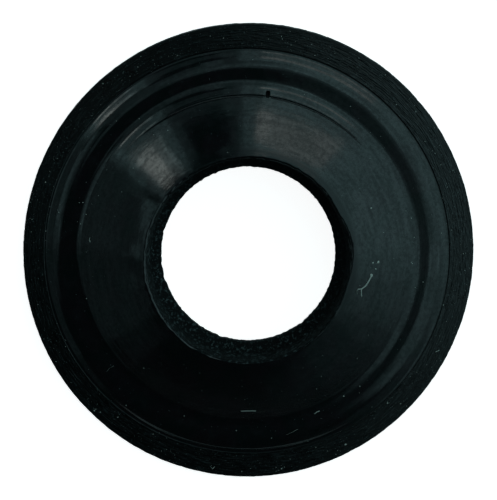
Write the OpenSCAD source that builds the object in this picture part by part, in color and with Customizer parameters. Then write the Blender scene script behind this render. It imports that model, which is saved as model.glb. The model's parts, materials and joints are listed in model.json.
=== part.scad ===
// Valve cover bolt gasket: a moulded rubber sealing ring with a conical crown.
// One solid of revolution about Z. The flat sealing base lies on z = 0 and the
// crown points up. Every height is measured from the base, in millimetres.

/* [Overall] */
// Outside diameter of the flange
outer_d = 26; // [22:0.5:40]
// Height from the base to the top of the crown
height = 4.5; // [3.8:0.1:7]
// Diameter of the throat, the edge of the inner lip that grips the bolt
throat_d = 10; // [7:0.1:12.5]
// Thickness of the flange at its outside edge
edge_h = 1.2; // [0.8:0.1:1.6]

/* [Trimmed rim] */
// Width of the rim that the trimming tool leaves bare
band_w = 1.46; // [0.8:0.02:2]
// Rise of that rim from the outside edge in to the crease
band_rise = 0.38; // [0.1:0.02:0.6]
// Width of the crease between the rim and the shoulder
crease_w = 0.08; // [0.05:0.01:0.2]
// Depth of the crease below the rim's inner edge
crease_depth = 0.05; // [0.03:0.01:0.12]
// Rounding of the flange's upper outside edge
edge_r = 0.08; // [0.03:0.01:0.2]
// Rounding of the flange's lower outside edge
base_r = 0.35; // [0.1:0.05:0.6]

/* [Shoulder and land] */
// Width of the shoulder's flank, from the crease to the land
flank_w = 0.56; // [0.44:0.02:1]
// Slope of that flank, in degrees
flank_slope = 33; // [30:1:45]
// Radius of the rounding between the flank and the land
shoulder_r = 1.4; // [0.3:0.05:1.8]
// Width of the land, from the flank to the foot of the crown
land_w = 0.92; // [0.7:0.02:1.6]
// Draft of the land, in degrees: it rises a little towards the crown
land_slope = 3.8; // [0:0.2:6]

/* [Crown] */
// Radius of the hollow fillet at the foot of the crown
foot_r = 1.1; // [0.5:0.1:1.6]
// Radius of the bow of the crown's side: the larger it is, the straighter the cone
bow_r = 30; // [20:1:90]
// Radius of the rounded rim at the top of the crown
rim_r = 0.12; // [0.08:0.02:0.3]
// Distance from the end of the foot fillet in to the mould's parting line
parting_gap = 0.4; // [0.16:0.02:0.6]
// Width of the shallow groove that the parting line leaves
parting_w = 0.1; // [0.06:0.01:0.2]
// Depth of that groove
parting_depth = 0.04; // [0.02:0.01:0.1]

/* [Bore] */
// How far the inner lip stands in from the bore
lip_reach = 0.54; // [0.3:0.02:0.8]
// Height of the lip's middle plane
lip_z = 2.05; // [1.6:0.05:2.4]
// Length of the cylindrical throat
lip_land = 0.6; // [0.4:0.05:0.8]
// Thickness of the lip where it leaves the bore
lip_root = 1.1; // [0.9:0.05:1.4]
// Rounding of the throat's two edges
throat_r = 0.06; // [0.02:0.01:0.1]
// Fillet where the lip leaves the bore
root_r = 0.15; // [0.05:0.01:0.2]
// How much wider in radius the bore is at the crown's rim than at the lip
bore_draft = 0.14; // [0:0.02:0.4]
// Rounding of the bore's lower edge
mouth_r = 0.25; // [0.1:0.05:0.5]

/* [Moulding nick] */
// Angle of the nick on the parting line, clockwise from +Y
nick_angle = 8; // [0:1:359]
// Width of the nick along the parting line
nick_w = 0.18; // [0.1:0.02:0.4]
// Length of the nick, from the parting line down towards the foot
nick_l = 0.34; // [0.2:0.02:0.5]
// Depth of the nick below the crown's face
nick_depth = 0.12; // [0.05:0.01:0.2]

/* [Hidden] */
$fn = 180;
// Straight steps along each rounded stretch of the section
steps = 10;

outer_r = outer_d / 2;
bore_r = throat_d / 2 + lip_reach;

// The crease's floor, where the shoulder starts
crease = [outer_r - band_w - crease_w, edge_h + band_rise - crease_depth];
// Where the shoulder's flank would meet the land if nothing were rounded
shoulder = crease + flank_w * [-1, tan(flank_slope)];
// The land's inner edge, where the foot of the crown starts
foot = shoulder + land_w * [-1, tan(land_slope)];

// Crown: its side is a shallow bow that runs on from the foot fillet and into the rim
foot_c = foot + foot_r * [sin(land_slope), cos(land_slope)];
rim_c = [bore_r + bore_draft + rim_r, height - rim_r];
span = norm(foot_c - rim_c);
along = (foot_c - rim_c) / span;
// The bow's centre is bow_r - rim_r from the rim's centre and bow_r + foot_r from the foot's
reach = (pow(bow_r - rim_r, 2) - pow(bow_r + foot_r, 2) + span * span) / (2 * span);
drop = sqrt(pow(bow_r - rim_r, 2) - reach * reach);
bow_c = rim_c + reach * along + drop * [along.y, -along.x];
// Slopes of the crown's side at its rim, at its foot and at the parting line
rim_slope = atan2(rim_c.x - bow_c.x, rim_c.y - bow_c.y);
foot_slope = atan2(foot_c.x - bow_c.x, foot_c.y - bow_c.y);
parting_slope = foot_slope - parting_gap / bow_r * 180 / PI;
parting = bow_c + bow_r * [sin(parting_slope), cos(parting_slope)];

// Points along an arc about c, from angle a to angle b
function arc(c, r, a, b) =
    [for (i = [0:steps]) c + r * [cos(a + (b - a) * i / steps), sin(a + (b - a) * i / steps)]];

// Corner b, between a and c, rounded by an arc of radius r
function rounded(a, b, c, r) =
    let (
        u = (a - b) / norm(a - b),
        v = (c - b) / norm(c - b),
        half = acos(u * v) / 2,
        mid = (u + v) / norm(u + v),
        centre = b + mid * r / sin(half),
        p = b + u * r / tan(half) - centre,
        q = b + v * r / tan(half) - centre,
        start = atan2(p.y, p.x),
        turn = atan2(p.x * q.y - p.y * q.x, p * q)
    )
    arc(centre, r, start, start + turn);

// The flange's outside: lower edge, wall and trimmed rim, up to the crease
function flange_points() =
    let (
        low = [outer_r, 0],
        high = [outer_r, edge_h],
        rim_in = crease + [crease_w, crease_depth]
    )
    concat(
        rounded([bore_r, 0], low, high, base_r),
        rounded(low, high, rim_in, edge_r),
        [rim_in]
    );

// Half the parting line's width, as an angle about the bow's centre
groove_half = parting_w / 2 / bow_r * 180 / PI;

// The parting line: a narrow groove across the crown's side
function groove_points() =
    [for (side = [-1, 0, 1])
        let (
            a = 90 - parting_slope + side * groove_half,
            r = side == 0 ? bow_r - parting_depth : bow_r
        )
        bow_c + r * [cos(a), sin(a)]];

// The moulded top: shoulder, foot of the crown, parting line and crown rim
function crown_points() =
    concat(
        [crease],
        rounded(crease, shoulder, foot, shoulder_r),
        arc(foot_c, foot_r, 270 - land_slope, 270 - foot_slope),
        groove_points(),
        arc(bow_c, bow_r, 90 - parting_slope + groove_half, 90 - rim_slope),
        arc(rim_c, rim_r, 90 - rim_slope, 180)
    );

// The bore: drafted wall, inner lip with its throat, and the lower bore
function bore_points() =
    let (
        wall_top = [bore_r + bore_draft, height - rim_r],
        root_top = [bore_r, lip_z + lip_root / 2],
        throat_top = [throat_d / 2, lip_z + lip_land / 2],
        throat_low = [throat_d / 2, lip_z - lip_land / 2],
        root_low = [bore_r, lip_z - lip_root / 2],
        mouth = [bore_r, 0]
    )
    concat(
        rounded(wall_top, root_top, throat_top, root_r),
        rounded(root_top, throat_top, throat_low, throat_r),
        rounded(throat_top, throat_low, root_low, throat_r),
        rounded(throat_low, root_low, mouth, root_r),
        rounded(root_low, mouth, [outer_r, 0], mouth_r)
    );

// The whole section, turned about the axis
module ring() {
    rotate_extrude()
        polygon(concat(flange_points(), crown_points(), bore_points()));
}

// Cutter for the nick: a short slot that lies along the crown's side, below the parting line
module nick() {
    rotate([0, 0, -nick_angle])
        translate([0, parting.x, parting.y])
            rotate([-parting_slope, 0, 0])
                translate([-nick_w / 2, -parting_w / 2, -nick_depth])
                    cube([nick_w, nick_l, 2 * nick_depth]);
}

module gasket() {
    color("#15191b")
        difference() {
            ring();
            nick();
        }
}

gasket();
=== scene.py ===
# %% [markdown]
# # A moulded rubber gasket for a valve cover bolt
# The real part is one ring of black rubber. A mould gives it a flat base, a narrow
# shoulder, a hollow foot and a conical crown. A knife then trims the flash from its outside
# and from its bore, so the skin is glossy where the mould touched it and matt where it was
# cut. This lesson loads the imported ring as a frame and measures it. It then makes the same
# ring again with the finish of the real one: tool marks, a worn lip, a parting line, dust.

# %% Load the frame
import json
import math
import random

import bmesh
import bpy
from mathutils import Matrix, Vector, noise
from mathutils.bvhtree import BVHTree


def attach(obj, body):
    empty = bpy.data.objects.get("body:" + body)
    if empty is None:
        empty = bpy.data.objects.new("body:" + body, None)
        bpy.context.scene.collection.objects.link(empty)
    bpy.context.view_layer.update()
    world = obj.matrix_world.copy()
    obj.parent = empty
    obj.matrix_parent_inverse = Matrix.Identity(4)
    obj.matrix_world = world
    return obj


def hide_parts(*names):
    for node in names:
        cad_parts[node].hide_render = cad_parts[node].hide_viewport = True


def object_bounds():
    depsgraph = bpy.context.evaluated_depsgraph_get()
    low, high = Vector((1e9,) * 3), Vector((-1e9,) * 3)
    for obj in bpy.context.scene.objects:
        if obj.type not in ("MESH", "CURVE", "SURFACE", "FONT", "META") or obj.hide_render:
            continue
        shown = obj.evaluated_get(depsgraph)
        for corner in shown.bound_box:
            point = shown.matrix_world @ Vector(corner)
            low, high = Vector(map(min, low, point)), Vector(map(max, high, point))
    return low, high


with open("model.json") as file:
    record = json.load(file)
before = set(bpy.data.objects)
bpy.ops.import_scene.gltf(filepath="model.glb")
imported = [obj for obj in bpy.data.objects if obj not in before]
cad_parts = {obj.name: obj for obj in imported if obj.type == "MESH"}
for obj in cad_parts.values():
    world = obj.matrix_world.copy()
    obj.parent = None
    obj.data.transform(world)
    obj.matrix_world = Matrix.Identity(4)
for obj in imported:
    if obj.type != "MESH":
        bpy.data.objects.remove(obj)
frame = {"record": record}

cad_low, cad_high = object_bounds()
mm = 0.001
print("frame, mm:", [round(c / mm, 2) for c in (*cad_low, *cad_high)])

# %% [markdown]
# ## Sizes
# The outside radius, the height and the throat come from the frame. Most of the other sizes
# repeat the ring's own, because this script can't read its source. The trimmed rim, the
# crease and the shoulder follow the photograph a little more closely than that source does.
# All are in millimetres, and a point is turned into metres when it is drawn.

# %% Sizes of the section
mounts = {m["name"]: m for m in frame["record"]["mounts"]}
outer_r = cad_high.x / mm
height = cad_high.z / mm
throat_r = mounts["bore"]["dims"]["r_mm"]
lip_z = mounts["bore"]["pos_m"][2] / mm
edge_h, band_w, band_rise = 1.2, 1.325, 0.27
crease_w, crease_depth, toe_round = 0.035, 0.035, 0.325
flank_w, flank_slope, shoulder_round = 0.633, math.radians(33), 1.8
land_w, land_slope = 0.85, math.radians(3.8)
foot_round, bow, rim_round = 1.1, 30, 0.12
parting_gap, parting_w, parting_depth = 0.4, 0.075, 0.04
lip_reach, lip_land, lip_root, bore_draft = 0.54, 0.6, 1.1, 0.14
edge_round, base_round, throat_round, root_round, mouth_round = 0.08, 0.35, 0.06, 0.15, 0.25
print("outside, height and throat, mm:", round(outer_r, 3), round(height, 3), round(throat_r, 3))


# %% Points and directions in the section
def vec(r, z):
    """A point of the section: r from the axis, z above the base."""
    return Vector((r, 0, z))


def slope(angle):
    """The direction that runs in towards the axis and rises at this angle."""
    return vec(-math.cos(angle), math.sin(angle))


def normal(angle):
    """The direction that stands square on such a slope, outwards."""
    return vec(math.sin(angle), math.cos(angle))


# %% Work out the corners of the section
bore_r = throat_r + lip_reach
crease = vec(outer_r - band_w - crease_w, edge_h + band_rise - crease_depth)
band_in = crease + vec(crease_w, crease_depth)
toe_centre = crease + vec(0, toe_round)
toe_top = toe_centre - toe_round * normal(flank_slope)
shoulder = toe_top + flank_w / math.cos(flank_slope) * slope(flank_slope)
foot = shoulder + land_w / math.cos(land_slope) * slope(land_slope)
foot_centre = foot + foot_round * normal(land_slope)
rim_centre = vec(bore_r + bore_draft + rim_round, height - rim_round)
span = (foot_centre - rim_centre).length
along = (foot_centre - rim_centre) / span
reach = ((bow - rim_round) ** 2 - (bow + foot_round) ** 2 + span**2) / (2 * span)
drop = math.sqrt((bow - rim_round) ** 2 - reach**2)
bow_centre = rim_centre + reach * along + drop * vec(along.z, -along.x)
print("centre of the crown's bow, mm:", round(bow_centre.x, 2), round(bow_centre.z, 2))

# %% Slopes of the crown
rim_slope = math.atan2(rim_centre.x - bow_centre.x, rim_centre.z - bow_centre.z)
foot_slope = math.atan2(foot_centre.x - bow_centre.x, foot_centre.z - bow_centre.z)
parting_slope = foot_slope - parting_gap / bow
groove_half = parting_w / 2 / bow


def on_crown(angle, sink=0):
    """The point of the crown's bowed side where it has this slope, or one sunk below it."""
    return bow_centre + (bow - sink) * normal(angle)


parting = on_crown(parting_slope)
print("crown slope, degrees:", round(math.degrees(rim_slope), 1), "at its rim and",
      round(math.degrees(foot_slope), 1), "at its foot; parting line at r", round(parting.x, 2))

# %% [markdown]
# ## The section, drawn with a pen
# A ring is easiest to make as a drafted section that is turned about its axis. Typing out
# the points of every round corner would hide the design, so a small pen draws it. A straight
# stroke extrudes the last point, and a round one spins it about the centre of its arc. Each
# stroke says how finely it is cut, because the tool marks and the rough bore need more
# points than the plain base.

# %% The pen
def only(kind, items):
    """What an operator made, of one kind: its points or its faces."""
    return [item for item in items if isinstance(item, kind)]


class Pen:
    """Draws a chain of edges in the section, from its last point, the tip."""

    def __init__(self, bm, start):
        self.bm = bm
        self.tip = bm.verts.new(start * mm)

    def line(self, to, cuts=1):
        """A straight stroke to a point, in as many equal steps as cuts says."""
        step = (to * mm - self.tip.co) / cuts
        for _ in range(cuts):
            made = bmesh.ops.extrude_vert_indiv(self.bm, verts=[self.tip])
            self.tip = made["verts"][0]
            bmesh.ops.translate(self.bm, verts=[self.tip], vec=step)

    def arc(self, centre, turn, cuts=8):
        """A round stroke about a centre. A positive turn runs anticlockwise in the section."""
        made = bmesh.ops.spin(
            self.bm, geom=[self.tip], cent=centre * mm, axis=(0, -1, 0), angle=turn, steps=cuts
        )
        self.tip = only(bmesh.types.BMVert, made["geom_last"])[0]

    def corner(self, at, to, radius, cuts=6, before=1):
        """A stroke towards a corner, then an arc that rounds it towards the next point."""
        back = (self.tip.co / mm - at).normalized()
        ahead = (to - at).normalized()
        half = back.angle(ahead) / 2
        run = radius / math.tan(half)
        centre = at + (back + ahead).normalized() * radius / math.sin(half)
        left = back.cross(ahead).y > 0
        self.line(at + back * run, before)
        self.arc(centre, (math.pi - 2 * half) * (1 if left else -1), cuts)


# %% Draw the section
# Points that lie closer together than this are merged into one
weld = 0.0005 * mm
bm = bmesh.new()
pen = Pen(bm, vec(bore_r + mouth_round, 0))
pen.line(vec(outer_r - base_round - 0.3, 0), 8)
pen.corner(vec(outer_r, 0), vec(outer_r, edge_h), base_round, 5)
pen.corner(vec(outer_r, edge_h), band_in, edge_round, 3, before=7)
pen.line(band_in, 34)
pen.line(crease, 2)
pen.arc(toe_centre, -flank_slope, 6)
pen.corner(shoulder, foot, shoulder_round, 14, before=3)
pen.line(foot, 4)
pen.arc(foot_centre, land_slope - foot_slope, 8)
pen.line(on_crown(parting_slope + groove_half), 3)
pen.line(on_crown(parting_slope, parting_depth), 1)
pen.line(on_crown(parting_slope - groove_half), 1)
pen.arc(bow_centre, parting_slope - groove_half - rim_slope, 24)
pen.arc(rim_centre, math.pi / 2 + rim_slope, 6)
root_top = vec(bore_r, lip_z + lip_root / 2)
throat_top = vec(throat_r, lip_z + lip_land / 2)
throat_low = vec(throat_r, lip_z - lip_land / 2)
root_low = vec(bore_r, lip_z - lip_root / 2)
pen.corner(root_top, throat_top, root_round, 4, before=14)
pen.corner(throat_top, throat_low, throat_round, 3, before=5)
pen.corner(throat_low, root_low, throat_round, 3, before=3)
pen.corner(root_low, vec(bore_r, 0), root_round, 4, before=2)
pen.corner(vec(bore_r, 0), vec(outer_r, 0), mouth_round, 5, before=4)
bmesh.ops.remove_doubles(bm, verts=bm.verts, dist=weld)
print("section:", len(bm.verts), "points,", len(bm.edges), "edges")

# %% [markdown]
# ## Turn the section into a ring
# Spinning the whole section about Z gives the ring in one step. The last copy is merged with
# the first, so there is no seam. The number of steps is a trade: the ring stays well under
# two hundred thousand triangles, and a step at the outside is still only 0.15 mm long.

# %% Spin the ring
ring_steps = 540
bmesh.ops.spin(
    bm, geom=bm.verts[:] + bm.edges[:], cent=(0, 0, 0), axis=(0, 0, 1),
    angle=2 * math.pi, steps=ring_steps, use_merge=True,
)
bmesh.ops.remove_doubles(bm, verts=bm.verts, dist=weld)
bmesh.ops.recalc_face_normals(bm, faces=bm.faces)
print("ring:", len(bm.verts), "points,", 2 * len(bm.faces), "triangles")

# %% [markdown]
# ## Wear and trimming, moved into the mesh
# A real gasket isn't a perfect turned shape. The knife that trims it runs a little off
# centre, leaves fine grooves around the rim and a ragged edge, and tears the thin web out of
# the bore. All of this shows in the outline and in the way light breaks, so it is moved into
# the mesh and not only painted on. Each fault is a small function of the radius, the height
# and the angle of a point, and the angle runs clockwise from +Y, as on a clock.

# %% Shared helpers for the faults
def ramp(x, low, high):
    """0 below low, 1 above high, and a smooth curve between."""
    t = min(1, max(0, (x - low) / (high - low)))
    return t * t * (3 - 2 * t)


def hump(x, centre, width):
    """1 at the centre and 0 at width from it, with a smooth fall."""
    return 1 - ramp(abs(x - centre), 0, width)


def apart(a, b):
    """The angle between two directions, in degrees."""
    return abs((a - b + 180) % 360 - 180)


def beside(angle, at, width):
    """1 at an angle and 0 at width degrees from it, with a smooth fall."""
    return hump(apart(angle, at), 0, width)


def around(r, angle, turns, fineness, seed):
    """Noise in rings: turns sets how fast it changes around, fineness how fast across."""
    a = math.radians(angle)
    place = Vector((math.sin(a) * turns, math.cos(a) * turns, r * fineness + 17 * seed))
    return noise.noise(place)


def speckle(point, size, seed):
    """Noise with features of about this size, in millimetres."""
    return noise.noise(point / size + Vector((31 * seed, 0, 0)))


def tell_around(what, measure):
    """Prints a measure at eight angles around the ring."""
    print(what, [round(measure(angle), 3) for angle in range(0, 360, 45)])


# %% The trimmed outside
# How far the oval's long sides are pulled in, the angle of its length, and the loss all round
oval, oval_angle, trim_off = 0.07, 38, 0.015
groove_depth = 0.02


def outline(angle):
    """How far the trimmed outside lies inside the full radius: a slight oval, ragged."""
    wide = oval * (1 - math.cos(2 * math.radians(angle - oval_angle))) / 2
    ragged = 0.016 * around(0, angle, 22, 0, 1) + 0.016 * around(0, angle, 75, 0, 2)
    return wide + trim_off + ragged


def grooves(r, angle):
    """The knife's marks on the rim: deep ones that wander, and fine ones between."""
    coarse = around(r, angle, 3, 4.6, 3)
    fine = around(r, angle, 11, 9.5, 4)
    patchy = 0.8 + 0.9 * around(r, angle, 7, 1.8, 5)
    return groove_depth * patchy * (coarse + 0.9 * fine)


def trim(point, r, out, angle):
    """Cuts the outside: pulls it in to its outline, and cuts grooves down into the rim."""
    inwards = ramp(r, band_in.x, outer_r) * outline(angle)
    on_rim = ramp(r, band_in.x, band_in.x + 0.05) * ramp(point.z, edge_h * 0.9, edge_h)
    depth = on_rim * (grooves(r, angle) + groove_depth * 0.7)
    return -out * inwards - Vector((0, 0, depth))


tell_around("outline pulled in every 45 degrees, mm:", outline)

# %% The moulded faces
# How far the mould's axis lies from the knife's, in millimetres
moulding_off = Vector((-0.09, 0.04, 0))


def offset_moulding(r):
    """The moulded faces lie a little off the centre that the knife turned about."""
    shift = moulding_off - Vector((0, 0.045, 0)) * ramp(r, shoulder.x, crease.x)
    return shift * ramp(r, bore_r, rim_centre.x) * (1 - ramp(r, band_in.x + 0.1, outer_r - 0.1))


def toe_pull(r, angle):
    """How far the crease runs inside its circle, at the bottom of the photograph."""
    inside = ramp(r, toe_top.x - 0.25, toe_top.x + 0.05)
    outside = ramp(r, band_in.x + 0.05, band_in.x + 0.7)
    near = inside * (1 - outside)
    return 0.13 * near * beside(angle, 186, 58) ** 0.8


def sag(point):
    """Moulded rubber is never quite true: its faces wander by up to 0.008 mm."""
    return 0.006 * speckle(point, 2.6, 6) + 0.0022 * speckle(point, 0.8, 7)


def parting_left(angle):
    """How much of the parting line is left at an angle: all of it near the nick, little behind."""
    clear = beside(angle, 6, 52) ** 0.7
    return min(1, 0.04 + clear * (1 + 0.3 * around(0, angle, 9, 0, 14)))


def in_parting(r, z):
    """How deep a point lies in the parting line's groove."""
    away = vec(r, z) - bow_centre
    near = abs(away.angle(vec(0, 1)) - parting_slope) < 2 * groove_half
    return max(0, bow - away.length) if near and z > foot.z else 0


tell_around("parting line left every 45 degrees, of 1:", parting_left)

# %% The crown's rim and the bore
# Notches in the throat: the angle of each, and how deep it is in millimetres
tears = {142: 0.05, 198: 0.045, 254: 0.06, 263: 0.035, 286: 0.05, 71: 0.02, 18: 0.02}


def rim_wear(r, angle):
    """How far the crown's rim has been cut back down its own slope: uneven, in flats."""
    edge = 1 - ramp(r, rim_centre.x, rim_centre.x + 0.35)
    flats = abs(around(0, angle, 5, 0, 74.74)) + 0.4 * around(0, angle, 17, 0, 11)
    northeast = 0.08 * beside(angle, 35, 60) + 0.24 * beside(angle, 84, 20) ** 0.5
    return edge * (0.08 * max(0, flats) + northeast)


def tear(angle):
    """How far the throat's edge is torn back, in small notches."""
    return sum(deep * beside(angle, at, 3.2) for at, deep in tears.items())


def rough_bore(point, r, angle):
    """How far the torn bore stands back at a point: notches in the throat, a rough wall."""
    throat = hump(r, throat_r, lip_reach * 0.8) * ramp(point.z, lip_z - 0.5, lip_z - 0.25)
    wall = ramp(point.z, lip_z, lip_z + 0.5) * (1 - ramp(r, rim_centre.x - 0.06, rim_centre.x + 0.1))
    grain = 0.026 * speckle(point, 0.36, 8) + 0.016 * speckle(point, 0.17, 9)
    fringe = 0.03 * around(0, angle, 26, 0, 12) + 0.02 * around(0, angle, 70, 0, 13)
    off_centre = 0.06 * math.cos(math.radians(angle)) - 0.03
    return throat * (tear(angle) + fringe + off_centre) + wall * (1.6 * grain + 0.02)


tell_around("crown's rim worn back every 45 degrees, mm:", lambda angle: rim_wear(rim_centre.x, angle))

# %% Move the mesh
for vert in bm.verts:
    point = vert.co / mm
    r = math.hypot(point.x, point.y)
    out = Vector((point.x / r, point.y / r, 0))
    angle = math.degrees(math.atan2(out.x, out.y)) % 360
    moved = point + trim(point, r, out, angle)
    if r < rim_centre.x + 0.35 and point.z > lip_z - 0.4:
        wear = rim_wear(r, angle) * ramp(point.z, lip_z + 0.5, height - 0.3)
        moved += out * (wear + rough_bore(point, r, angle))
        moved.z -= wear * math.tan(rim_slope)
    sunk = in_parting(r, point.z)
    if sunk > 0.005:
        moved += vert.normal * sunk * (1 - parting_left(angle))
    if rim_centre.x < r < crease.x and point.z > edge_h:
        moved -= vert.normal * (0.004 + sag(point)) * ramp(r, rim_centre.x, rim_centre.x + 0.1)
    if point.z > edge_h:
        moved -= out * toe_pull(r, angle)
    moved += offset_moulding(r) * ramp(point.z, edge_h * 0.5, edge_h)
    vert.co = moved * mm
bm.normal_update()
lowest = min(v.co.z for v in bm.verts) / mm
highest = max(v.co.z for v in bm.verts) / mm
widest = max(math.hypot(v.co.x, v.co.y) for v in bm.verts) / mm
print("worn ring, mm: z", round(lowest, 3), "to", round(highest, 3), "and r up to", round(widest, 3))

# %% [markdown]
# ## The nick
# One small slot crosses the parting line near the top of the photograph, perhaps where the
# mould was pried open. The mesh is too coarse there for a clean slot, so the few faces under
# it are subdivided first. Then the points inside the slot's outline are pushed down.

# %% Where the nick lies
nick_angle, nick_w, nick_l, nick_depth = 7.5, 0.22, 0.34, 0.22
nick_out = Vector((math.sin(math.radians(nick_angle)), math.cos(math.radians(nick_angle)), 0))
nick_side = Vector((nick_out.y, -nick_out.x, 0))
nick_at = nick_out * (parting.x + 0.1) + offset_moulding(parting.x)


def in_nick(point, margin):
    """Less than 1 inside a slot that is this much larger than the nick, and more outside."""
    away = point - nick_at
    across = abs(away.dot(nick_side)) / (nick_w / 2 + margin)
    along = abs(away.dot(nick_out)) / (nick_l / 2 + margin)
    return (across**4 + along**4) ** 0.25


print("nick at r", round(math.hypot(nick_at.x, nick_at.y), 2), "and", nick_angle, "degrees")

# %% Cut the nick
near = [
    f for f in bm.faces
    if in_nick(f.calc_center_median() / mm, 0.12) < 1 and f.normal.z > 0.5
]
edges = list({e for f in near for e in f.edges})
cut = bmesh.ops.subdivide_edges(bm, edges=edges, cuts=3, use_grid_fill=True)
slot_verts = {v for f in near if f.is_valid for v in f.verts}
slot_verts.update(only(bmesh.types.BMVert, cut["geom"]))
pushed = 0
for vert in slot_verts:
    share = 1 - ramp(in_nick(vert.co / mm, 0), 0.5, 1.05)
    vert.co.z -= nick_depth * share * mm
    pushed += share > 0.5
bm.normal_update()
print("nick:", len(near), "faces subdivided,", pushed, "points sunk")

# %% [markdown]
# ## Three kinds of surface
# The same rubber looks different where it was moulded, where a knife cut it and where it was
# torn in the bore. The faces are sorted into these three by where they lie, and each kind
# gets a material of its own.

# %% Sort the faces
moulded, trimmed, torn = range(3)
for face in bm.faces:
    middle = face.calc_center_median() / mm
    r = math.hypot(middle.x, middle.y)
    true = middle - offset_moulding(r)
    true_r = math.hypot(true.x, true.y)
    true_r += toe_pull(true_r, math.degrees(math.atan2(true.x, true.y)) % 360)
    in_crease = middle.z > edge_h and crease.x < true_r < band_in.x + 0.03
    face.smooth = in_parting(true_r, middle.z) < 0.012 and not in_crease
    if true_r > crease.x + 0.002 and middle.z > base_round:
        face.material_index = trimmed
    elif r < rim_centre.x - 0.01 and middle.z > lip_z - lip_land / 2:
        face.material_index = torn
    elif in_nick(middle, 0.02) < 1 and middle.z > foot.z:
        face.material_index = torn
    else:
        face.material_index = moulded
tally = [sum(f.material_index == kind for f in bm.faces) for kind in (moulded, trimmed, torn)]
print("faces, moulded, trimmed and torn:", tally)

# %% [markdown]
# ## A slight squeeze
# In the photograph the ring is a little narrower across than it is from top to bottom. Soft
# rubber seldom lies quite round. The mesh is squeezed last, because every step before it is
# simpler on a round ring, and the materials undo the squeeze where they follow the rings.

# %% Squeeze the ring
squeeze = 0.985
bmesh.ops.scale(bm, vec=(squeeze, 1, 1), verts=bm.verts)
print("squeezed to", squeeze, "of its width along X")

# %% [markdown]
# ## A small language for materials
# A material is arithmetic on what is known at a point, such as its distance from the axis.
# Written as plain expressions, it stays readable. One class wraps a socket, so that + and *
# add Math nodes, and one method makes every other node from its type, settings and inputs.

# %% Wires
class Wire:
    """A number's socket that takes part in ordinary arithmetic."""

    def __init__(self, board, socket):
        self.board = board
        self.socket = socket

    def __add__(self, other):
        return self.board.math("ADD", self, other)

    __radd__ = __add__

    def __sub__(self, other):
        return self.board.math("SUBTRACT", self, other)

    def __rsub__(self, other):
        return self.board.math("SUBTRACT", other, self)

    def __mul__(self, other):
        return self.board.math("MULTIPLY", self, other)

    __rmul__ = __mul__

    def __truediv__(self, other):
        return self.board.math("DIVIDE", self, other)

    def __pow__(self, other):
        return self.board.math("POWER", self, other)


# %% Boards
class Board:
    """The node tree of one material."""

    def __init__(self, name):
        self.material = bpy.data.materials.new(name)
        self.material.use_nodes = True
        self.tree = self.material.node_tree
        self.tree.nodes.clear()

    def node(self, kind, settings=None, sockets=None, out=0):
        """Adds a node: its settings first, then the values or links of its sockets."""
        made = self.tree.nodes.new(kind)
        for key, value in (settings or {}).items():
            setattr(made, key, value)
        for key, value in (sockets or {}).items():
            if isinstance(value, Wire):
                self.tree.links.new(value.socket, made.inputs[key])
            else:
                made.inputs[key].default_value = value
        return Wire(self, made.outputs[out]) if made.outputs else self.material

    def math(self, operation, *values):
        """A Math node on numbers or wires."""
        return self.node("ShaderNodeMath", {"operation": operation}, dict(enumerate(values)))

    def ramp(self, value, low, high):
        """0 below low, 1 above high, smooth between."""
        sockets = {"Value": value, "From Min": low, "From Max": high}
        return self.node("ShaderNodeMapRange", {"interpolation_type": "SMOOTHSTEP"}, sockets)

    def noise(self, place, scale, detail=2.0, roughness=0.5):
        """Noise between 0 and 1 with features of about 1/scale of a unit."""
        sockets = {"Vector": place, "Scale": scale, "Detail": detail, "Roughness": roughness}
        return self.node("ShaderNodeTexNoise", {}, sockets)

    def blend(self, factor, first, second):
        """A colour between two others."""
        return self.node("ShaderNodeMix", {"data_type": "RGBA"}, {0: factor, 6: first, 7: second}, out=2)

    def bump(self, relief):
        """The bumpy normal of a relief in millimetres."""
        return self.node("ShaderNodeBump", {}, {"Strength": 1.0, "Distance": mm, "Height": relief})

    def rubber(self, colour, rough, normal, shine):
        """A rubber surface: how strongly it mirrors is the same all over, the rest may vary."""
        return self.node("ShaderNodeBsdfPrincipled", {}, {
            "Base Color": colour, "Roughness": rough, "Normal": normal, "Specular IOR Level": shine,
        })

    def mix(self, factor, first, second):
        """A surface between two others."""
        return self.node("ShaderNodeMixShader", {}, {0: factor, 1: first, 2: second})

    def finish(self, surface):
        """Ends the tree in a surface and hands back the material."""
        made = self.node("ShaderNodeOutputMaterial", {}, {"Surface": surface})
        print(made.name + ":", len(self.tree.nodes), "nodes")
        return made


# %% Where a point is on the ring
def on_ring(board):
    """The point in millimetres, and its x and y."""
    at = board.node("ShaderNodeTexCoord", out="Object")
    point = board.node("ShaderNodeVectorMath", {"operation": "SCALE"}, {0: at, "Scale": 1 / mm})
    x, y = (board.node("ShaderNodeSeparateXYZ", sockets={0: point}, out=k) for k in range(2))
    return point, x, y


def from_axis(x, y):
    """How far a place lies from the axis."""
    return (x * x + y * y) ** 0.5


def along_rings(board, x, y):
    """The radius before the squeeze, and a place that follows the rings."""
    x = x / squeeze
    r = from_axis(x, y)
    return r, board.node("ShaderNodeCombineXYZ", sockets={0: x / r, 1: y / r, 2: r})


def stretched(board, rings, turns, fineness):
    """Stretches the ring place: slow changes around, quick ones across."""
    scale = {0: rings, 1: (turns, turns, fineness)}
    return board.node("ShaderNodeVectorMath", {"operation": "MULTIPLY"}, scale)


# %% [markdown]
# ## Moulded rubber
# The mould leaves a skin that is glossy but not polished. In the real part a window mirrored
# in the crown keeps its outline, and its inside is mottled by flow lines that run around the
# ring. So the roughness is low, and a very small relief, of a few thousandths of a
# millimetre, breaks the reflections up. A faint bloom of dust makes some places paler, and
# the crown's rim is duller, most of all at the top right.

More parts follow.
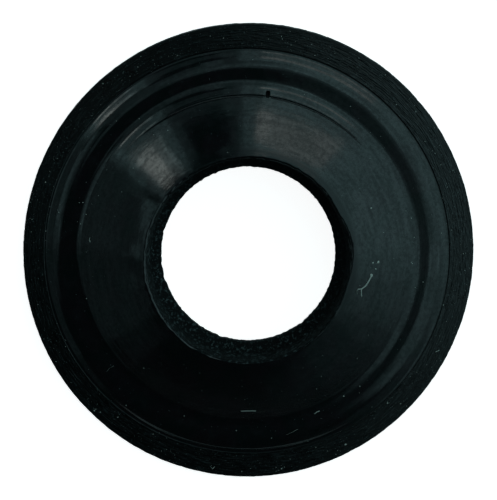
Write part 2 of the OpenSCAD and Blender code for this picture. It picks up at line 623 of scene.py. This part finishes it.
# %% The moulded skin
def moulded_rubber():
    """Glossy skin in patches, with flow lines, a bloom of dust and a dull crown rim."""
    board = Board("moulded_rubber")
    point, x, y = on_ring(board)
    _, rings = along_rings(board, x, y)
    clouds = board.noise(point, 0.45, 3.0)
    bloom = board.ramp(board.noise(point, 1.6, 4.0, 0.6), 0.45, 0.8)
    flow = board.noise(stretched(board, rings, 4.0, 4.2), 1.0, 3.0, 0.6)
    swirl = board.noise(point, 0.9, 2.0)
    grain = board.noise(point, 16.0, 2.0)
    bump = board.bump(0.0035 * flow + 0.006 * swirl + 0.0008 * grain)
    tone = board.ramp(board.noise(point, 0.8, 3.0), 0.4, 0.6)
    skin = board.blend(tone, (0.0016, 0.0036, 0.0038, 1), (0.0042, 0.0032, 0.0044, 1))
    dusty = board.blend(bloom * 0.4 + flow * 0.2, skin, (0.009, 0.0125, 0.013, 1))
    specks = board.ramp(board.noise(point, 12.0, 1.0), 0.77, 0.82)
    colour = board.blend(specks, dusty, (0.08, 0.1, 0.1, 1))
    southeast = board.ramp(x - y, -6.0, 12.0)
    rough = 0.07 + southeast * 0.06 + clouds * 0.03 + specks * 0.3
    glossy = board.rubber(colour, rough, bump, 0.5)
    dull = board.rubber(colour, rough + 0.06, bump, 0.28)
    patches = flow * 0.45 + board.noise(point, 5.0, 3.0, 0.7) * 0.55
    mould_x, mould_y = x / squeeze - moulding_off.x, y - moulding_off.y
    near_rim = 1 - board.ramp(from_axis(mould_x, mould_y), rim_centre.x - 0.1, rim_centre.x + 0.85)
    worn = near_rim * (0.2 + board.ramp(mould_x + mould_y, 0.5, 5.0) * 1.8)
    share = board.math("MAXIMUM", board.ramp(patches, 0.36, 0.64), worn)
    return board.finish(board.mix(share, glossy, dull))


moulded_skin = moulded_rubber()

# %% [markdown]
# ## Trimmed rubber
# The knife leaves a matt face with fine grooves that follow the rim. The mesh has the grooves
# down to a tenth of a millimetre. The finer ones are bump here, broken along their length
# because the cut chatters, and the dust that stays in them makes pale streaks. Towards the
# east the face mirrors more strongly. That is a painted sheen for the light that falls from there.

# %% The trimmed face
def trimmed_rubber():
    """Matt rubber with fine cuts along the rim, and a painted sheen that grows towards the east."""
    board = Board("trimmed_rubber")
    point, x, y = on_ring(board)
    r, rings = along_rings(board, x, y)
    cuts = board.noise(stretched(board, rings, 26.0, 10.0), 1.0, 2.0, 0.6)
    lines = board.noise(stretched(board, rings, 9.0, 15.0), 1.0, 2.0, 0.6)
    grain = board.noise(point, 10.0, 3.0, 0.6)
    bump = board.bump(0.05 * cuts + 0.06 * lines + 0.02 * grain)
    dull = board.ramp(board.noise(point, 0.9, 3.0), 0.35, 0.65)
    streaks = board.ramp(cuts * 0.5 + lines * 0.5, 0.53, 0.66)
    specks = board.ramp(board.noise(point, 13.0, 1.0), 0.67, 0.76)
    edge = board.ramp(r, outer_r - 0.3, outer_r - 0.12)
    dark = board.blend(dull, (0.0004, 0.0007, 0.0009, 1), (0.0012, 0.0018, 0.0021, 1))
    streaked = board.blend(streaks * (1 - edge * 0.7), dark, (0.008, 0.012, 0.0126, 1))
    colour = board.blend(specks, streaked, (0.06, 0.078, 0.078, 1))
    rough = 0.26 + dull * 0.12 + edge * 0.2 + specks * 0.2
    # Two copies that differ only in how strongly they mirror. The east side and its cut lines get the
    # stronger one: painted sheen in the east and painted shade in the west.
    shaded_side_cut, lit_side_cut = (board.rubber(colour, rough, bump, shine) for shine in (0.1, 0.38))
    side = board.ramp(x, -3.0, 13.5) + board.ramp(y - x, 6.0, 16.0) * 0.14
    share = side * (0.15 + 1.7 * (cuts * 0.4 + lines * 0.6))
    return board.finish(board.mix(share, shaded_side_cut, lit_side_cut))


trimmed_face = trimmed_rubber()

# %% [markdown]
# ## Torn rubber
# In the bore the rubber was pulled apart. Its surface is the roughest of the three, full of
# pits and crumbs, and it gives almost no reflections. Its pale crumbs are partly dust and partly
# painted highlight, and they thin out towards the top right as painted shade.

# %% The torn bore
def torn_rubber():
    """Rough, pitted rubber with pale crumbs, partly dust and partly painted highlight, thinned out at
    the top right as painted shade.
    """
    board = Board("torn_rubber")
    point, x, y = on_ring(board)
    pits = board.noise(point, 6.0, 4.0, 0.65)
    # Fewer pale crumbs towards the top right, where the bore lies in shadow: painted shade.
    dust_and_painted_shade = 1.0 - board.ramp(x + y * 1.5, -6.0, 5.0) * 0.75
    crumbs = board.ramp(board.noise(point, 5.5, 3.0, 0.7), 0.52, 0.66) * dust_and_painted_shade
    bump = board.bump(0.07 * pits + 0.03 * crumbs)
    colour = board.blend(crumbs, (0.0006, 0.0012, 0.0016, 1), (0.05, 0.068, 0.07, 1))
    return board.finish(board.rubber(colour, 0.68 + pits * 0.2, bump, 0.16))


torn_bore = torn_rubber()

# %% The finished ring
def made_object(name, bm, *materials):
    """Turns a bmesh into an object of this name and links it to the scene."""
    mesh = bpy.data.meshes.new(name)
    bm.to_mesh(mesh)
    bm.free()
    for material in materials:
        mesh.materials.append(material)
    made = bpy.data.objects.new(name, mesh)
    bpy.context.collection.objects.link(made)
    return made


ring = made_object("gasket_ring", bm, moulded_skin, trimmed_face, torn_bore)
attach(ring, "root")
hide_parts("gasket")
print("ring mesh:", len(ring.data.polygons), "faces,", len(ring.data.materials), "materials")

# %% [markdown]
# ## Dust and lint
# The photographed part isn't clean. Pale crumbs lie all over it, most of them on the trimmed
# rim and in the corners, and there are a few threads of lint. They are real little solids,
# dropped onto the ring from above: a ray finds the surface and its slope, so that each one
# sits half sunk in what carries it, seen from any side.

# %% Find the surface under a place
ring_tree = BVHTree.FromPolygons(
    [v.co.copy() for v in ring.data.vertices], [p.vertices[:] for p in ring.data.polygons]
)


def landing(r, angle):
    """The surface point and normal under a place given in millimetres and degrees."""
    a = math.radians(angle)
    above = Vector((r * math.sin(a), r * math.cos(a), height + 5)) * mm
    above.x *= squeeze
    place, facing, _, _ = ring_tree.ray_cast(above, Vector((0, 0, -1)))
    return place, facing


def pointing(direction):
    """The turn that points Z along a direction."""
    return direction.to_track_quat("Z", "Y").to_matrix().to_4x4()


print("top of the crown's rim in the east, mm:", round(landing(rim_centre.x, 90)[0].z / mm, 3))


# %% Crumbs of dust
chance = random.Random(7)


def add_crumb(bm, r, angle, size, flat):
    """An uneven crumb, flattened along the surface's normal and half sunk in it."""
    place, facing = landing(r, angle)
    made = bmesh.ops.create_icosphere(bm, subdivisions=1, radius=size * mm)
    for vert in made["verts"]:
        vert.co *= chance.uniform(0.7, 1.15)
        vert.co.z *= flat
    turn = pointing(facing) @ Matrix.Rotation(chance.uniform(0, 6.3), 4, "Z")
    bmesh.ops.transform(bm, matrix=Matrix.Translation(place) @ turn, verts=made["verts"])


def crowding(r):
    """How much dust settles at a radius: most on the trimmed rim, least on the crown."""
    rim = ramp(r, crease.x - 0.15, crease.x + 0.1)
    corner = hump(r, foot.x, 0.5)
    return 0.12 + 0.88 * rim + 0.3 * corner


# %% Scatter the crumbs
dust = bmesh.new()
wanted, scattered = 340, 0
while scattered < wanted:
    r = math.sqrt(chance.uniform((rim_centre.x + 0.2) ** 2, (outer_r - 0.15) ** 2))
    if chance.random() > crowding(r):
        continue
    size = 0.011 + 0.022 * chance.random() ** 3
    add_crumb(dust, r, chance.uniform(0, 360), size, 0.6)
    scattered += 1
print("scattered crumbs:", scattered)

# %% Crumbs that the photograph shows
# Each has its radius in millimetres, its clockwise angle and its own size in millimetres
specks = [
    (7.38, 91.5, 0.085), (7.05, 97.3, 0.11), (7.08, 91.7, 0.06), (7.26, 94.5, 0.065), (7.53, 67.8, 0.06),
    (9.8, 145.9, 0.045), (11.8, 137, 0.05), (12.37, 134.6, 0.04), (12.4, 153, 0.08),
    (11.6, 104.8, 0.04), (12.55, 223, 0.035), (11.2, 219, 0.035), (10.1, 287, 0.03),
    (9.55, 284, 0.032), (8.75, 322, 0.028), (11.95, 45, 0.035), (12.1, 62, 0.03),
    (12.73, 224.4, 0.05), (12.1, 218.6, 0.04), (8.75, 223.2, 0.035), (9.6, 255, 0.035),
    (9.75, 280.4, 0.035), (9.9, 287.4, 0.035), (11.1, 282.4, 0.04), (12.3, 289.2, 0.045),
    (9.35, 74.4, 0.035), (9.55, 77.4, 0.03), (9.55, 84, 0.03), (9.4, 93, 0.03), (9.75, 101, 0.03),
    (12.55, 170.4, 0.03), (12.62, 171.2, 0.04), (12.68, 172, 0.028), (12.5, 172.6, 0.025),
    (10.65, 172.8, 0.035),
]
for r, angle, size in specks:
    add_crumb(dust, r, angle, size, 0.5)
print("crumbs:", scattered + len(specks), "with", len(dust.faces), "faces")


# %% Threads of lint
# How high the middle of a thread lies above the surface
thread_lift = 0.02


def add_thread(bm, stops, thick):
    """A thin tube that lies on the ring through a few stops of (r, angle)."""
    path = []
    for r, angle in stops:
        place, facing = landing(r, angle)
        path.append(place + facing * thread_lift * mm)
    turn = Matrix.Translation(path[0]) @ pointing((path[1] - path[0]).normalized())
    made = bmesh.ops.create_circle(bm, cap_ends=True, segments=5, radius=thick * mm, matrix=turn)
    cap = made["verts"][0].link_faces[0]
    for here, there in zip(path, path[1:]):
        made = bmesh.ops.extrude_face_region(bm, geom=[cap])
        verts = only(bmesh.types.BMVert, made["geom"])
        bmesh.ops.translate(bm, verts=verts, vec=there - here)
        cap = only(bmesh.types.BMFace, made["geom"])[0]


# Each thread has its stops, as radius and clockwise angle, and the radius of its own section
threads = [
    ([(7.03, 97.8), (6.93, 100.2), (6.81, 102.5), (6.6, 104.4), (6.66, 106.2), (6.73, 107.8)], 0.042),
    ([(6.6, 104.4), (6.42, 104.6), (6.38, 105.8), (6.45, 107.1)], 0.028),
    ([(12.35, 116.9), (12.2, 117.8), (12.4, 118.6)], 0.018),
    ([(8.86, 177.2), (8.84, 179), (8.85, 181), (8.87, 182.7)], 0.02),
    ([(9.87, 155.4), (9.85, 156.3), (9.9, 157.3)], 0.022),
    ([(9.05, 275), (9.1, 275.8), (9.08, 276.6)], 0.018),
    ([(12.5, 189), (12.65, 189.5), (12.5, 190.1)], 0.018),
    ([(10.42, 164), (10.52, 166), (10.6, 168)], 0.004),
    ([(10.6, 230.6), (10.3, 230.8), (10.0, 230.5)], 0.004),
]
for stops, thick in threads:
    add_thread(dust, stops, thick)
bmesh.ops.recalc_face_normals(dust, faces=dust.faces)
print("threads:", len(threads), "- dust and lint together:", len(dust.faces), "faces")


# %% The dust's own material
def pale_dust():
    """Pale matt crumbs and threads, uneven in tone."""
    board = Board("pale_dust")
    at = board.node("ShaderNodeTexCoord", out="Object")
    tone = board.noise(at, 9000.0, 2.0)
    colour = board.blend(tone, (0.17, 0.19, 0.18, 1), (0.53, 0.54, 0.49, 1))
    shader = board.node(
        "ShaderNodeBsdfPrincipled", {}, {"Base Color": colour, "Roughness": 0.75 + tone * 0.2}
    )
    return board.finish(shader)


dust_piece = made_object("dust", dust, pale_dust())
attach(dust_piece, "root")

# %% [markdown]
# ## The floor
# The ring lies on a white page. The floor's own colour is pale, and it also glows for rays
# that come straight from the camera, or by way of something shiny or clear. So the page is
# white without any more light on the ring. The part of it that reflects the lamps stays, and
# that part carries the shadow. Near the ring a real page lies in its shade, so what the
# ring's own lower slopes mirror begins to glow only away from it. Seen from below, the floor
# isn't there.

# %% The white page
# How strongly the page glows by itself, where 1 is full white
page_glow = 0.92


def white_page():
    """Pale paper that glows for the camera and in what is mirrored, and is clear from below."""
    board = Board("white_page")
    seen = board.node("ShaderNodeLightPath", out="Is Camera Ray")
    mirrored = board.node("ShaderNodeLightPath", out="Is Glossy Ray")
    through = board.node("ShaderNodeLightPath", out="Is Transmission Ray")
    at = board.node("ShaderNodeTexCoord", out="Object")
    away = board.node("ShaderNodeVectorMath", {"operation": "LENGTH"}, {0: at}, out="Value")
    clear_of_ring = board.ramp(away, 0.06, 0.4)
    counts = board.math("MAXIMUM", seen, mirrored * clear_of_ring)
    counts = board.math("MAXIMUM", counts, through)
    paper = board.node("ShaderNodeBsdfDiffuse", {}, {"Color": (0.8, 0.8, 0.8, 1)})
    glow = board.node("ShaderNodeEmission", {}, {"Color": (1, 1, 1, 1), "Strength": counts * page_glow})
    lit = board.node("ShaderNodeAddShader", {}, {0: paper, 1: glow})
    clear = board.node("ShaderNodeBsdfTransparent")
    below = board.node("ShaderNodeNewGeometry", out="Backfacing")
    return board.finish(board.mix(below, lit, clear))


page = bmesh.new()
bmesh.ops.create_grid(page, x_segments=1, y_segments=1, size=3.0)
bmesh.ops.translate(page, verts=page.verts, vec=(0, 0, -0.01 * mm))
floor = made_object("white_page", page, white_page())

# %% [markdown]
# ## Light
# Black rubber shows little of its own colour. What the eye reads is what it mirrors, so the
# lamps are placed by what the photograph shows on each slope. The crown's side slopes by 29
# to 37 degrees, so from straight above it mirrors what stands 16 to 32 degrees above the
# horizon on its own side. The camera leans to the north, which adds some 8 degrees there and
# takes as much away in the south. The round shoulder mirrors far more, as one thin band. Most
# lamps are upright panels that stand in a circle, so that two of them meet without a gap or
# an overlap. A panel is given by the two azimuths it stands between, clockwise from +Y, and
# by the two elevations it reaches, all in degrees. Its glow is how bright it looks.

# %% A flat lamp
# How far the lamps stand from the ring and hang above it, in metres
lamp_distance = 0.6


def direction(azimuth, elevation):
    """The direction of a place in the sky."""
    a, e = math.radians(azimuth), math.radians(elevation)
    return Vector((math.sin(a) * math.cos(e), math.cos(a) * math.cos(e), math.sin(e)))


def add_lamp(name, place, facing, wide, tall, glow, tint):
    """A flat lamp at a place, with power by its area. It shines against the direction given."""
    light = bpy.data.lights.new(name, "AREA")
    light.shape = "RECTANGLE"
    light.size = wide
    light.size_y = tall
    light.energy = glow * 4 * wide * tall
    light.color = tint
    lamp = bpy.data.objects.new(name, light)
    lamp.matrix_world = Matrix.Translation(place) @ pointing(facing)
    bpy.context.collection.objects.link(lamp)
    return lamp


# %% Three ways to hang one
def offset(degrees):
    """How far out of the middle a direction meets a lamp's plane."""
    return lamp_distance * math.tan(math.radians(degrees))


def upright(name, start, end, low, high, glow, tint, faces=None):
    """An upright panel between two azimuths and two elevations. It may face another azimuth."""
    faces = (start + end) / 2 if faces is None else faces
    left, right = offset(start - faces), offset(end - faces)
    bottom, top = offset(low), offset(high)
    place = lamp_distance * direction(faces, 0) + (left + right) / 2 * direction(faces + 90, 0)
    place.z = (bottom + top) / 2
    return add_lamp(name, place, direction(faces, 0), right - left, top - bottom, glow, tint)


def ceiling(name, west, east, south, north, glow, tint):
    """A level panel overhead, between these places in metres."""
    place = Vector(((west + east) / 2, (south + north) / 2, lamp_distance))
    return add_lamp(name, place, Vector((0, 0, 1)), east - west, north - south, glow, tint)


def tilted(name, azimuth, elevation, wide, tall, glow, tint):
    """A panel that faces the ring from this direction, this wide and tall in degrees."""
    facing = direction(azimuth, elevation)
    place = facing * lamp_distance
    return add_lamp(name, place, facing, 2 * offset(wide / 2), 2 * offset(tall / 2), glow, tint)


def tell(side, lamps):
    """Prints the lamps of one side and their power."""
    print(side + ":", {lamp.name: round(lamp.data.energy, 2) for lamp in lamps})


sea, cool = (0.56, 0.96, 1.0), (0.76, 1.0, 1.0)
warm, beige = (0.97, 1.0, 0.94), (1.0, 0.78, 0.68)
print("tints:", sea, cool, warm, beige)

# %% [markdown]
# ### North and north-east
# The widest and brightest light stands here. It is several panels, because the photograph's
# crown isn't equally bright all over, and each stretch of it asks for a glow of its own.

# %% Lamps: north
tell("north", [
    upright("north_panel", -2, 6.3, 10, 48, 0.49, sea),
    upright("north_high", -2, 10, 48, 67, 0.36, sea),
    upright("northeast_low", 6.3, 47, 8, 36.3, 0.7, sea),
    upright("northeast_high", 6.3, 47, 36.3, 48, 0.76, sea),
    upright("northeast_top_west", 10, 22, 48, 66, 0.55, sea),
    upright("northeast_top", 22, 47, 48, 66, 0.66, sea),
])

# %% [markdown]
# ### The window
# Near the top of the picture the crown mirrors a window. It is a wide beige panel, with three
# brighter slats at its west end.

# %% Lamps: window
tell("window", [
    upright("window", 5.3, 47, 26.7, 36.3, 0.42, beige, faces=18),
    upright("window_slat_low", 4.6, 12, 27.5, 29.2, 0.6, warm),
    upright("window_slat_middle", 4.6, 12, 30.9, 32.7, 0.6, warm),
    upright("window_slat_high", 4.6, 12, 33.9, 35.1, 0.5, warm),
])

# %% [markdown]
# ### East
# The light goes on round to the east, in four panels one above another, because the low and
# the steep parts of the ring mirror different heights. The top one is the dimmest.

# %% Lamps: east
tell("east", [
    upright("east_low", 47, 98, 6, 23, 0.65, sea),
    upright("east_middle", 47, 98, 23, 37, 0.71, sea),
    upright("east_high", 47, 104, 37, 62, 0.6, sea),
    upright("east_top", 47, 104, 62, 67, 0.3, sea),
])

# %% [markdown]
# ### Low in the south-east
# Towards the south the crown grows dark little by little. So each panel here is dimmer than
# the one before it, and the last ones reach less high.

# %% Lamps: low in the southeast
tell("low in the southeast", [
    upright("southeast_1", 98, 108, 6, 37, 0.52, sea),
    upright("southeast_2", 108, 118, 6, 27, 0.36, sea),
    upright("southeast_3", 118, 125, 6, 27, 0.27, sea),
    upright("southeast_4", 125, 133, 6, 27, 0.16, sea),
    upright("southeast_5", 133, 143, 6, 25, 0.09, sea),
    upright("southeast_6", 143, 153, 8, 24, 0.07, sea),
    upright("southeast_7", 153, 162, 9, 20, 0.04, sea),
    upright("southeast_8", 162, 172, 9, 17, 0.022, sea),
])

# %% [markdown]
# ### High in the south-east and south
# The foot of the crown, the land and the shoulder stay bright a little further south than the
# crown's side does, which takes panels high up. A faint low strip stands in the south.

# %% Lamps: high in the southeast and south
tell("high in the southeast and south", [
    upright("southeast_high_1", 104, 118, 37, 70, 0.52, sea),
    upright("southeast_middle_1", 108, 118, 27, 37, 0.46, sea),
    upright("southeast_high_2", 118, 129, 27, 70, 0.47, sea),
    upright("southeast_high_3", 129, 136, 30, 70, 0.44, sea),
    upright("southeast_high_4", 136, 143, 33, 70, 0.38, sea),
    upright("south_high_1", 143, 148, 38, 70, 0.22, sea),
    upright("south_high_2", 148, 154, 50, 70, 0.12, sea),
    upright("south_strip", 160, 222, 8.5, 10.5, 0.035, cool),
])

# %% [markdown]
# ### Ceilings
# The land is nearly level, so it mirrors what hangs almost overhead: four dim level panels.

# %% Lamps: ceilings
tell("ceilings", [
    ceiling("east_ceiling", 0.15, 0.32, -0.14, 0.27, 0.22, sea),
    ceiling("north_ceiling", 0.08, 0.15, 0.14, 0.32, 0.24, sea),
    ceiling("north_ceiling_west", -0.06, 0.08, 0.14, 0.32, 0.13, sea),
    ceiling("top_ceiling", 0.03, 0.15, -0.12, 0.14, 0.1, sea),
])

# %% [markdown]
# ### The corner lamp
# At the upper left the ring mirrors one small bright lamp, the strongest highlight of all. A
# warm core lies in it, and dimmer panels around it soften its border.

# %% Lamps: corner
tell("corner", [
    upright("corner_lamp", 301.8, 318.5, 25.0, 35.4, 1.0, cool, faces=330),
    upright("corner_core", 303, 311.5, 25.4, 34.6, 1.1, warm, faces=326),
    upright("corner_step", 300, 316, 15.5, 24, 0.4, sea),
    upright("corner_west", 297, 302, 16, 35, 0.36, sea),
    upright("corner_east", 316.5, 324, 16, 36, 0.42, sea),
    upright("northwest_gap", 323, 329, 18, 36, 0.16, sea),
])

# %% [markdown]
# ### Around a dark block
# Between that lamp and the north the photograph mirrors something dark. No lamp can be dark,
# so the panels leave its place empty and stand under it, over it and beside it.

# %% Lamps: around the dark block
tell("around the dark block", [
    upright("under_block", 329, 350, 17, 26.5, 0.12, sea),
    upright("under_block_east", 350, 358, 12, 28, 0.2, sea),
    upright("over_block_west", 324, 344, 45, 56, 0.16, sea),
    upright("over_block_high", 324, 344, 56, 70, 0.24, sea),
    upright("over_block", 344, 351, 37, 70, 0.27, sea),
    upright("over_block_east", 351, 355.5, 30, 70, 0.13, sea),
    upright("over_block_seam", 355.5, 358, 28, 70, 0.27, sea),
    tilted("north_overhead", 336, 72, 44, 8, 0.18, sea),
])

# %% [markdown]
# ### West and south-west
# In the west the ring mirrors a dim band, with fainter light under and over it. Both fade out
# towards the south.

# %% Lamps: west
tell("west", [
    upright("west_low", 264, 297, 8, 24, 0.13, sea),
    upright("west_band", 268, 293, 30, 42, 0.4, sea),
    upright("west_band_south", 261, 268, 27, 44, 0.22, sea),
    upright("west_gap", 262, 298, 24, 30, 0.09, sea),
    upright("corner_edge", 291, 298, 24, 30, 0.08, sea),
    upright("west_top", 268, 298, 42, 47, 0.33, sea),
    upright("west_summit", 262, 298, 47, 51.5, 0.22, sea),
    upright("west_summit_edge", 258, 300, 51.5, 57, 0.11, sea),
    upright("west_band_edge", 253, 261, 27, 43, 0.1, sea),
    upright("west_band_tail", 247, 253, 23, 40, 0.055, sea),
    upright("west_top_south", 256, 268, 44, 51, 0.16, sea),
    upright("northwest_low_band", 293, 303, 36, 44, 0.3, sea),
    upright("northwest_band", 302, 324, 36.5, 68, 0.16, sea),
    upright("southwest_fill", 231, 264, 8, 26, 0.085, sea),
    upright("southwest_edge", 220, 231, 9, 22, 0.04, sea),
])

# %% [markdown]
# ### The dim room
# What no lamp covers isn't quite black in the photograph. A faint even background gives the
# dark parts of the ring that little light. The view transform is the plain one, so colours
# come out as they are written.

# %% The dim room
room = bpy.data.worlds.new("dim_room")
room.use_nodes = True
backdrop = room.node_tree.nodes["Background"]
backdrop.inputs["Color"].default_value = (0.85, 0.95, 1.0, 1)
backdrop.inputs["Strength"].default_value = 0.012
bpy.context.scene.world = room
bpy.context.scene.view_settings.view_transform = "Standard"
print("room:", round(backdrop.inputs["Strength"].default_value, 3), "of full light")

# %% [markdown]
# ## Camera
# The photograph was taken from almost straight above, from a little to its top side: the
# crown's rim lies lower in the picture than the flange does. The distance and the lens
# together set the size in the picture, and the distance alone sets the perspective.

# %% The camera
tilt, camera_distance = math.radians(8.5), 0.2
lens = bpy.data.cameras.new("camera")
lens.sensor_width = 36
lens.lens = 254.4
camera = bpy.data.objects.new("camera", lens)
aim = Vector((0.01, 0.15, 1.2)) * mm
camera.location = aim + camera_distance * Vector((0, math.sin(tilt), math.cos(tilt)))
camera.rotation_euler = (-tilt, 0, 0)
bpy.context.collection.objects.link(camera)
bpy.context.scene.camera = camera
lens.clip_start, lens.clip_end = 0.01, 10
print("camera, mm:", [round(c / mm, 1) for c in camera.location])

# %% [markdown]
# ## Sizes at the end
# The finish mustn't change how large the part is. At the end the scene is brought up to date.

# %% Sizes at the end
bpy.context.view_layer.update()
